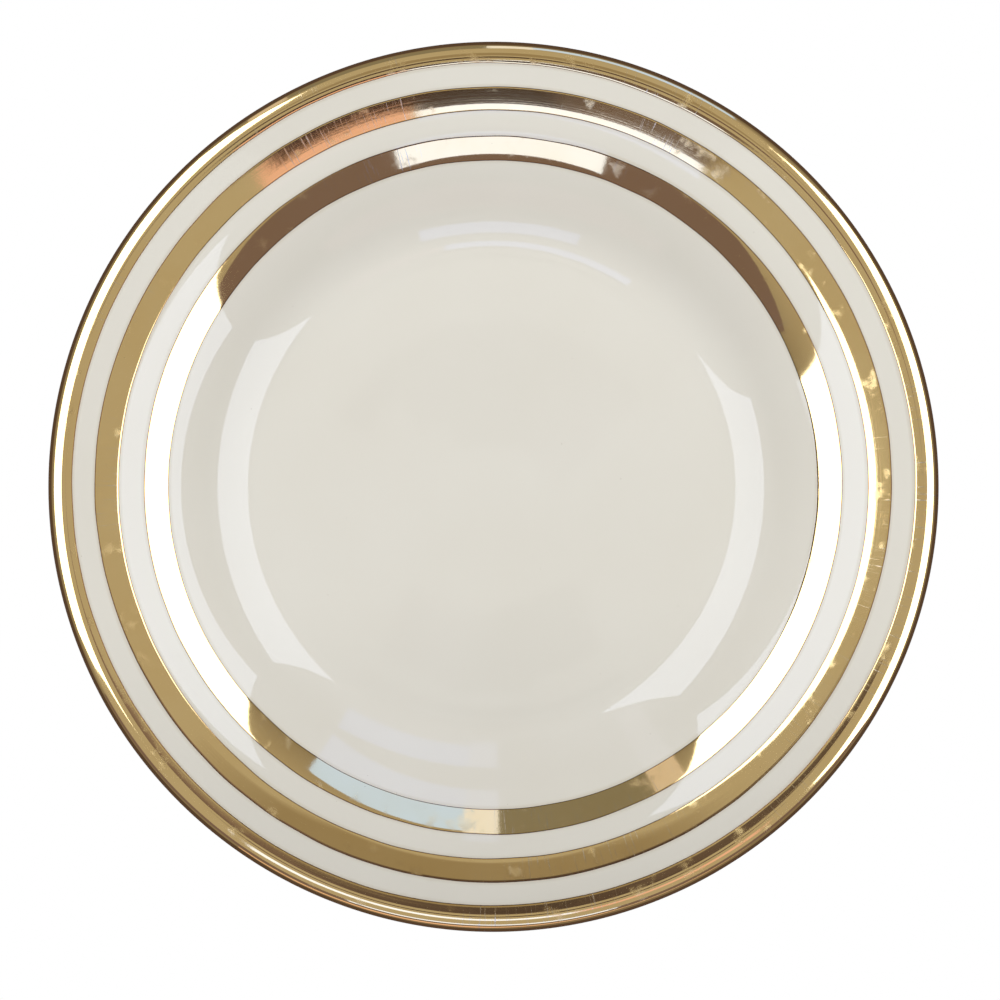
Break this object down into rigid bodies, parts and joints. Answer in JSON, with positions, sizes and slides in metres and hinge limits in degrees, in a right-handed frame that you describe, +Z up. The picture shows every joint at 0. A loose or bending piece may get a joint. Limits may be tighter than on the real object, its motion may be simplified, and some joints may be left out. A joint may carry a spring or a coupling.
{
  "type": "dinner plate",
  "caption": "Round china dinner plate with a flat floor, a curved well wall and a broad rim on a foot ring, glazed ivory and banded in gold.",
  "frame": {"origin": "centre of the plate on the plane that its foot ring stands on", "axes": "+Z up along the plate's axis of revolution; +X and +Y are free, because the plate is round"},
  "size_m": [0.267, 0.267, 0.0242],
  "materials": {
    "biscuit": "matte, bare only on the standing face of the foot ring",
    "glaze": "clear gloss over ivory china",
    "gold": "bright burnished gold, lightly scratched"
  },
  "bodies": {
    "root": {"porcelain_body": "biscuit", "face_glaze": "glaze", "base_glaze": "glaze", "inner_gold_band": "gold", "middle_gold_band": "gold", "rim_gold_band": "gold"}
  },
  "joints": []
}
